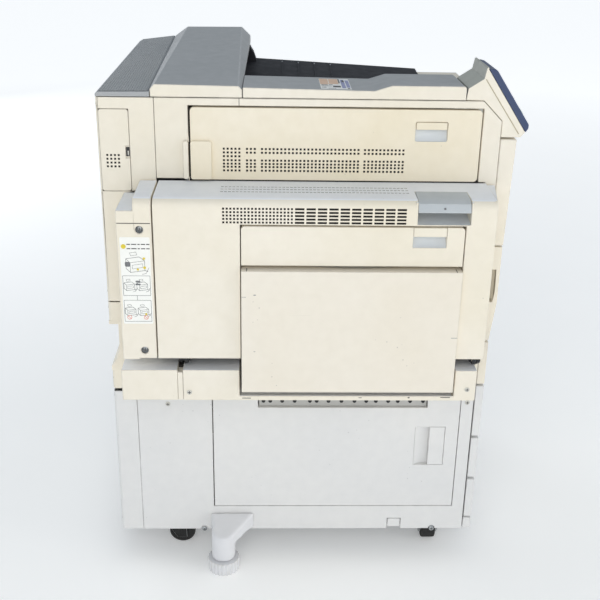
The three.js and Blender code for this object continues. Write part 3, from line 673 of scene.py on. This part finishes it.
WELL_X = UNIT_X + 7                         # floor of the end cover's two screw wells
WELLS = [(267, 675.5), (267, 473)]          # y, z
SCREW_COLUMNS = (-205, 55, 315)
screws("skirt_screws", "x", UNIT_X + 0.2, -1, [(198, 398), (-257, 404)], material=SCREW_PALE)
screws("bank_screws", "x", SIDE_X + 0.2, -1, [(245.6, 321), (-283, 325)], material=SCREW_PALE)
screws("base_screws", "x", SIDE_X + 0.4, -1, [(187, 57), (-237.5, 57)], 4.6)
screws("end_cover_screws", "x", WELL_X, -1, WELLS, 4.4)
screws("rear_screws", "y", REAR_Y - 0.2, 1, [(x, z) for x in SCREW_COLUMNS for z in (845, 530, 500, 366)])
screws("bank_rear_screws", "y", REAR_Y - 0.2, 1, [(x, z) for x in SCREW_COLUMNS for z in (332, 74)])
screws("far_screws", "x", FAR_X - 0.2, 1, [(y, z) for y in (-280, 236) for z in (366, 560, 780)])
screws("bank_far_screws", "x", FAR_X - 0.2, 1, [(y, z) for y in (-282, 286) for z in (74, 332)])
WELL_PROFILE = [(WELL_X + 2.0, 7.6), (WELL_X - 0.4, 7.6), (WELL_X - 0.6, 6.4), (WELL_X - 0.2, 0.8)]
# the screw wells are painted in the darkened pale grey: painted shade in the hollows
detail("end_cover_screw_wells", "machine", "pale_grey_plastic", PALE_GREY_PAINTED_SHADE,
       lambda bm: [lathe(bm, "x", centre, WELL_PROFILE, 28) for centre in WELLS])


def ramp(axis, along, deep, shallow, low, high):
    """A hollow-ground ramp in a grip recess: deep at the flap, meeting the face at the other end.
    deep and shallow are x places; low and high are the places of the face end and the flap end."""
    curve = []
    for k in range(8):
        t = k / 7
        curve.append((shallow + (deep - shallow) * math.sin(t * math.pi / 2), low + (high - low) * t ** 1.3))
    return lambda bm: prism(bm, axis, curve + [(deep, low)], *along)


# the grip ramps are painted brighter than their pale grey plastic: painted light in the recesses
detail("upper_door_grip_ramp", "upper_door", "pale_grey_plastic", GRIP_GREY_PAINTED_LIGHT,
       ramp("y", (-210.8, -159.7), -212.2, -221.2, 793.2, 811))
detail("duplex_grip_ramp", "duplex_unit", "pale_grey_plastic", GRIP_GREY_PAINTED_LIGHT,
       ramp("y", (-238.9, -157.1), -272, -319.2, 687.1, 705.4))
detail("bypass_grip_ramp", "bypass_unit", "pale_grey_plastic", GRIP_GREY_PAINTED_LIGHT,
       ramp("y", (-203.9, -152.1), -308.2, -319.4, 650.1, 667))
detail("bank_door_grip_ramp", "bank_door", "cool_white_paint", MATERIALS["cool_white_paint"],
       ramp("z", (196.2, 274.8), -211.7, -219.4, -194.2, -219))
detail("front_cover_grip_ramp", "lower_front_cover", "cream_plastic", MATERIALS["cream_plastic"],
       ramp("z", (522, 576), -200.2, -218.6, -309.2, -297))

# painted shade in the gaps of hinges and seams, and small covers, on the near side
detail("bank_door_hinge_gaps", "machine", "black_plastic", HOLLOW,
       blocks(*[((SIDE_X + 0.4, 167.15, z0), (-214, 168.35, z1)) for z0, z1 in ((262, 309), (128, 190))]), 0.1)
detail("upper_door_hinge_gap", "machine", "black_plastic", HOLLOW,
       blocks(((-214, 193.9, 731), (-211, 196.6, 842))), 0.2)
detail("door_shadow_strip", "machine", "black_plastic", HOLLOW,
       blocks(((-222.4, -262, 726.8), (-210, 192, 728.2))))
detail("skirt_joint", "machine", "cream_plastic", MATERIALS["cream_plastic"],
       blocks(((-319.4, 208.3, 383.4), (-300, 216.2, 433.5))), 0.5)
detail("end_cover_seam", "machine", "cream_plastic", SEAM,
       blocks(((UNIT_X - 0.2, 249.6, 685.4), (UNIT_X + 0.4, 300.6, 686.7)),
              ((-318.6, 301.6, 685.4), (-224, 302.2, 686.7))))
detail("skirt_joint_shadow", "machine", "black_plastic", HOLLOW,
       blocks(((-299, 208.3, 400), (-240, 216.2, 436))), 0.3)
detail("jack_cover", "machine", "cool_white_paint", MATERIALS["cool_white_paint"],
       blocks(((-219.4, -177.4, 61), (-217.2, -154.1, 78.6))), 0.4)

# a black plate in the latch slot: painted shade of the slot, with the pale lever in front of it
detail("service_door_latch", "service_door", "black_plastic", MATERIALS["black_plastic"],
       blocks(((-219.6, 290.0, 764.0), (-217.4, 295.2, 778.6))), 0.4)
detail("service_door_latch_lever", "service_door", "steel", SCREW_PALE,
       blocks(((-220.2, 290.8, 766.0), (-219.2, 292.8, 773.0))), 0.3)

# ---------- feed strip behind the bank door's notch ----------
TEETH = [-205, -182, -160, -143, -121, -104, -83, -60, -37, -16, -4, 23, 45, 66, 78]     # y
TOOTH = [(-3.4, 330), (-3.4, 323.6), (-1.6, 321), (1.6, 321), (3.4, 323.6), (3.4, 330)]   # y, z


def feed_teeth(bm):
    for place in TEETH:
        prism(bm, "x", [(place + y, z) for y, z in TOOTH], -215.2, -213.9)


detail("feed_strip_teeth", "machine", "black_plastic", MATERIALS["black_plastic"], feed_teeth, 0.3)
detail("feed_strip_face", "machine", "pale_grey_plastic", STRIP_GREY,
       blocks(((-214.6, -211.4, 314.6), (-213.4, 85.8, 341.4))), 0.2)

# ---------- bypass tray scoop, scuffs on the tray and the bottom band ----------
SCOOP = [(-300, -148), (-326, -65), (-300, 18)]     # x, y of the curve's two ends and its middle handle


def scoop_outline(depth):
    points = []
    for k in range(17):
        t = k / 16
        x, y = (a * (1 - t) ** 2 + 2 * b * t * (1 - t) + c * t * t for a, b, c in zip(*SCOOP))
        points.append((x + depth, y))
    return [p for p in points if p[0] < -302.3]


def scuffs(face_x, proud, *cells):
    """Thin marks on a near-side face; each cell is (y from, y to, z from, z to)."""
    return blocks(*[((face_x - proud, y0, z0), (face_x + 0.1, y1, z1)) for y0, y1, z0, z1 in cells])


detail("bypass_tray_scoop", "bypass_tray", "pale_grey_plastic", BLUE,
       lambda bm: prism(bm, "z", scoop_outline(0.25), 598.3, 606.0))
detail("bypass_tray_ends", "bypass_tray", "cream_plastic", SEAM,
       blocks(*[((TRAY_X + 0.8, y, 612.6), (-316, y + 1.1, 613.25)) for y in (103.2, -223.4)]))
detail("bypass_tray_marks", "bypass_tray", "cream_plastic", INK_GREY,
       scuffs(TRAY_X, 0.15, (104.8, 112.2, 570.0, 570.5), (89.5, 93.4, 573.2, 574.4),
              (-231.2, -221.2, 501.2, 501.9), (90.4, 93.2, 476.0, 476.7)))
detail("skirt_band_marks", "machine", "cream_plastic", DARK_INK_AND_PAINTED_SHADE,
       scuffs(UNIT_X, 0.2, (98, 112, 386.6, 387.8), (-163, -160, 387.6, 389.6),
              (-84, -79, 387.8, 388.8), (-230, -214, 388.4, 389.6)))
detail("lever_dot", "duplex_lever", "dark_plastic", INK_GREY,
       lambda bm: lathe(bm, "x", (-198, 712.6), [(-318.0, 1.7), (-319.7, 1.7)], 16))


# ---------- instruction label on the end cover ----------
SHEET_X = UNIT_X - 0.16     # outer face of the label's paper
SHADE_X = SHEET_X - 0.10    # shaded areas
LINE_X = SHEET_X - 0.12     # pen lines
SPOT_X = SHEET_X - 0.18     # coloured spots and rings, over the lines


def strokes(bm, points, width, x=LINE_X):
    """A pen line through (y, z) points, as a thin raised ribbon."""
    for (y0, z0), (y1, z1) in zip(points, points[1:]):
        length = math.hypot(y1 - y0, z1 - z0) or 1
        oy, oz = -(z1 - z0) / length * width / 2, (y1 - y0) / length * width / 2
        prism(bm, "x", [(y0 + oy, z0 + oz), (y1 + oy, z1 + oz), (y1 - oy, z1 - oz), (y0 - oy, z0 - oz)],
              x, x + 0.12)


def frame_lines(bm, y0, y1, z0, z1, width=0.5):
    strokes(bm, [(y0, z0), (y1, z0), (y1, z1), (y0, z1), (y0, z0)], width)


def pictogram(bm, y, z, scale):
    """A generic line drawing of a box-shaped machine with an opened flap and a sheet."""
    def at(a, b):
        return (y + a * scale, z + b * scale)
    strokes(bm, [at(-9, -7), at(5, -9), at(9, -5), at(9, 5), at(-4, 7), at(-9, 3), at(-9, -7)], 0.55)
    strokes(bm, [at(-9, 3), at(5, 1), at(9, 5)], 0.45)
    strokes(bm, [at(5, 1), at(5, -9)], 0.45)
    strokes(bm, [at(-7, 0), at(3, -1.6), at(3, -5.4), at(-7, -3.8), at(-7, 0)], 0.4)
    strokes(bm, [at(-12, -8), at(-9, -7)], 0.7)
    strokes(bm, [at(-13, -4), at(-10, -10), at(-6, -11)], 0.45)
    strokes(bm, [at(-2, 9), at(4, 8), at(5, 11), at(-1, 12), at(-2, 9)], 0.4)


detail("label_sheet", "machine", "cream_plastic", PAPER,
       lambda bm: prism(bm, "x", round_rect(251.5, 297.5, 520, 664, 2), SHEET_X, UNIT_X + 0.1))


def label_lines(bm):
    for z in (652.5, 645.5):
        y = 287.0
        for length in (5.5, 8.0, 3.5, 6.5, 5.0):
            strokes(bm, [(y, z), (y - length, z)], 1.5)
            y -= length + 1.6
    pictogram(bm, 275, 621, 1.6)
    for z0, z1 in ((568, 601), (524, 560)):
        frame_lines(bm, 253.5, 295.5, z0, z1)
        pictogram(bm, 286.0, (z0 + z1) / 2, 0.92)
        pictogram(bm, 266.0, (z0 + z1) / 2, 0.92)
    strokes(bm, [(274.5, 568), (274.5, 560)], 0.5)


detail("label_drawings", "machine", "dark_plastic", DARK_INK_AND_PAINTED_SHADE, label_lines)
detail("label_shades", "machine", "pale_grey_plastic", INK_GREY,
       lambda bm: [prism(bm, "x", outline, SHADE_X, SHEET_X - 0.02) for outline in (
           round_rect(269, 276, 590, 593, 1), round_rect(268.5, 276.5, 585.5, 588, 1),
           round_rect(283, 291, 616, 624, 2))])
detail("label_yellow_spots", "machine", "toner_yellow", INK_YELLOW,
       lambda bm: [prism(bm, "x", outline, SPOT_X, SHEET_X - 0.02) for outline in (
           circle(292, 649, 3.8), circle(261.5, 629.5, 2.0), circle(261, 614.5, 2.2),
           circle(271.5, 611.5, 1.8), circle(262, 536.5, 1.6))])


def red_rings(bm):
    for y in (288, 262):
        strokes(bm, circle(y, 531, 3.4, 12) + [(y + 3.4, 531)], 0.7, SPOT_X)
        strokes(bm, [(y - 2.2, 528.8), (y + 2.2, 533.2)], 0.7, SPOT_X)


detail("label_red_rings", "machine", "toner_magenta", INK_RED, red_rings)

# ---------- sticker on the top rim ----------
RIM_Z, RIM_Y = 871.5, -58   # height of the rim's sloping top at this y
RIM_SLOPE = 0.0147


def rim_patches(*cells, lift=0.1):
    """Flat patches on the rim's top; each cell is (y from, y to, x from, x to)."""
    def build(bm):
        for y0, y1, x0, x1 in cells:
            low, high = (RIM_Z + RIM_SLOPE * (y - RIM_Y) for y in (y1, y0))
            prism(bm, "x", [(y1, low - 0.3), (y0, high - 0.3), (y0, high + lift), (y1, low + lift)], x0, x1)
    return build


detail("rim_sticker_base", "machine", "cream_plastic", PAPER, rim_patches((-10, -58, -211, -121)))
detail("rim_sticker_orange", "machine", "cream_plastic", INK_ORANGE,
       rim_patches((-10.5, -24, -172, -122), (-25, -40, -169, -122), lift=0.2))
detail("rim_sticker_violet", "machine", "navy_plastic", INK_VIOLET,
       rim_patches((-44, -50, -203, -128), (-51.5, -57, -197, -133), lift=0.2))
detail("rim_sticker_dark", "machine", "dark_plastic", DARK_INK_AND_PAINTED_SHADE,
       rim_patches((-12, -22, -180, -176), (-30, -42, -196, -184), (-40.5, -42.5, -160, -124),
                   (-46, -50, -150, -134), (-12, -19, -200, -197), (-52, -56, -208, -203), lift=0.28))
detail("rim_sticker_lines", "machine", "pale_grey_plastic", INK_GREY,
       rim_patches((-12, -28, -188, -186), (-24, -30, -178, -174), (-22, -34, -207, -205), lift=0.26))


# ---------- perforated sheet of the ventilation grille ----------
GRILLE_TREE = BVHTree.FromPolygons([v.co for v in grille.data.vertices],
                                   [list(p.vertices) for p in grille.data.polygons])


def grille_surface(x, t):
    """A point on the grille's top skin; t runs from the hood (0) to the rear edge (1). Towards the far side
    the sheet starts 9.5 mm further back and gets 12 mm narrower."""
    share = (x - SIDE_X) / (FAR_X - SIDE_X)
    y = 256.5 + 9.5 * share + t * (79 - 12 * share)
    hit = GRILLE_TREE.ray_cast(Vector((x, y, 950)) * MM, Vector((0, 0, -1)))[0]
    return hit / MM


def grille_sheet(bm):
    columns, rows, lift, hole_share = 128, 19, 0.8, 0.72
    for i in range(columns):
        for j in range(rows):
            x0, x1 = (-217 + 543 * (i + d) / columns for d in (0, 1))
            t0, t1 = (0.02 + 0.96 * (j + d) / rows for d in (0, 1))
            corners = [grille_surface(x, t) for x, t in ((x0, t0), (x1, t0), (x1, t1), (x0, t1))]
            up = Vector((0, 0, lift))
            hole = []
            for k in range(4):
                middle = (corners[k] + corners[(k + 1) % 4]) / 2
                centre = sum(corners, Vector()) / 4
                hole.append(centre + (middle - centre) * hole_share)
            outer = [bm.verts.new((c + up) * MM) for c in corners]
            inner = [bm.verts.new((h + up) * MM) for h in hole]
            low = [bm.verts.new((h - up * 0.2) * MM) for h in hole]
            for k in range(4):
                n = (k + 1) % 4
                bm.faces.new((outer[k], outer[n], inner[k]))
                bm.faces.new((outer[n], inner[n], inner[k]))
                bm.faces.new((inner[k], inner[n], low[n], low[k]))
    bmesh.ops.remove_doubles(bm, verts=bm.verts, dist=1e-6)
    bmesh.ops.recalc_face_normals(bm, faces=bm.faces)


detail("grille_perforation", "machine", "top_grey_plastic", MATERIALS["top_grey_plastic"], grille_sheet,
       smooth=20)

# ---------- output tray dots, panel keys and display ----------
def tray_dots(bm):
    """Small domed pegs in a row on the output tray, whose floor slopes down towards the front."""
    for y in (45, 12, -21, -54):
        drop = 19 * (127 - y) / 361
        lathe(bm, "z", (300, y), [(836.5 - drop, 1.5), (839.6 - drop, 1.5), (840.2 - drop, 0.9)], 12)


# the pegs are painted in the darkened pale grey: painted shade
detail("output_tray_dots", "machine", "pale_grey_plastic", PALE_GREY_PAINTED_SHADE, tray_dots)

# the face leans back by 84 mm up for 57 mm back; its centre is in mm
PANEL_TILT = math.atan2(84, 57)
PANEL_CENTRE = Vector((-168, -310.5, 863))
TO_PANEL = Matrix.Translation(PANEL_CENTRE * MM) @ Matrix.Rotation(PANEL_TILT, 4, "X")
GLASS_Z = -0.9                  # the display lies in a shallow well
KEY_Z = (-0.2, 1.3)             # foot and top of the small keys


def on_panel(name, material, slot, build, width=0.0):
    """A piece on the control panel, drawn flat: x along the panel, y up it, z out of its face."""
    detail(name, "machine", slot, material, build, width, place=TO_PANEL)


def display_bars(bm):
    for y, length in ((29.5, 40), (24, 58), (18.5, 30)):
        block(bm, (-33, y, GLASS_Z - 0.02), (-33 + length, y + 2.4, GLASS_Z + 0.08))
    for x in (-33, -20, -7, 6, 19):
        block(bm, (x, 10.5, GLASS_Z - 0.02), (x + 11, 14.8, GLASS_Z + 0.08))


def number_keys(bm):
    for x in (10, 21.5, 33):
        for y in (-10, -18, -26, -34):
            prism(bm, "z", round_rect(x, x + 9, y, y + 5.2, 1.2), *KEY_Z)


def menu_keys(bm):
    for x in (-38, -23, -8):
        prism(bm, "z", round_rect(x, x + 12, -6, -0.8, 1.4), *KEY_Z)


def lamps(bm):
    for x in (-38, -30, -22):
        lathe(bm, "z", (x, -14), [(-0.2, 1.3), (0.5, 1.3), (0.8, 0.7)], 12)


on_panel("panel_display", GLASS, "black_plastic",
         lambda bm: prism(bm, "z", round_rect(-37.4, 37.4, 7.6, 36.4, 1.2), GLASS_Z - 0.7, GLASS_Z))
on_panel("panel_display_bars", LCD, "pale_grey_plastic", display_bars)
# the keys are painted in the darkened pale grey: painted shade
on_panel("panel_number_keys", PALE_GREY_PAINTED_SHADE, "pale_grey_plastic", number_keys, 0.4)
on_panel("panel_menu_keys", PALE_GREY_PAINTED_SHADE, "pale_grey_plastic", menu_keys, 0.4)
on_panel("panel_lamps", INK_YELLOW, "toner_yellow", lamps)

# ---------- fronts of the drawers: a blank card holder and a level window on each ----------
DRAWER_FRONT_Y = -310
for number, top in ((1, 443), (2, 358), (3, 252), (4, 165)):
    tray = f"tray_{number}"
    card = round_rect(-196, -168, top - 34, top - 14, 2)
    window = round_rect(292, 300, top - 44, top - 14, 2.5)
    detail(f"{tray}_card_holder", tray, SLOT_OF[tray], PAPER,
           lambda bm: prism(bm, "y", card, DRAWER_FRONT_Y - 0.7, DRAWER_FRONT_Y + 0.2), 0.3)
    detail(f"{tray}_level_window", tray, "dark_plastic", GLASS,
           lambda bm: prism(bm, "y", window, DRAWER_FRONT_Y - 0.5, DRAWER_FRONT_Y + 0.2), 0.2)


# ---------- floor ----------
bm = bmesh.new()
bmesh.ops.create_grid(bm, x_segments=1, y_segments=1, size=14)
floor_mesh = bpy.data.meshes.new("floor")
bm.to_mesh(floor_mesh)
bm.free()
floor_shader = FLOOR.node_tree.nodes["Principled BSDF"]
floor_shader.inputs["Emission Color"].default_value = (1, 1, 1, 1)
floor_shader.inputs["Specular IOR Level"].default_value = 0.05
floor_nodes, floor_links = FLOOR.node_tree.nodes, FLOOR.node_tree.links
distance = floor_nodes.new("ShaderNodeVectorMath")
distance.operation = "LENGTH"
floor_links.new(floor_nodes.new("ShaderNodeTexCoord").outputs["Object"], distance.inputs[0])
floor_links.new(ranged(floor_nodes, floor_links, distance.outputs["Value"], 0.6, 5.0, 0.16, 0.52),
                floor_shader.inputs["Emission Strength"])
floor = linked("floor", floor_mesh, FLOOR)
floor.location.z = -0.5 * MM
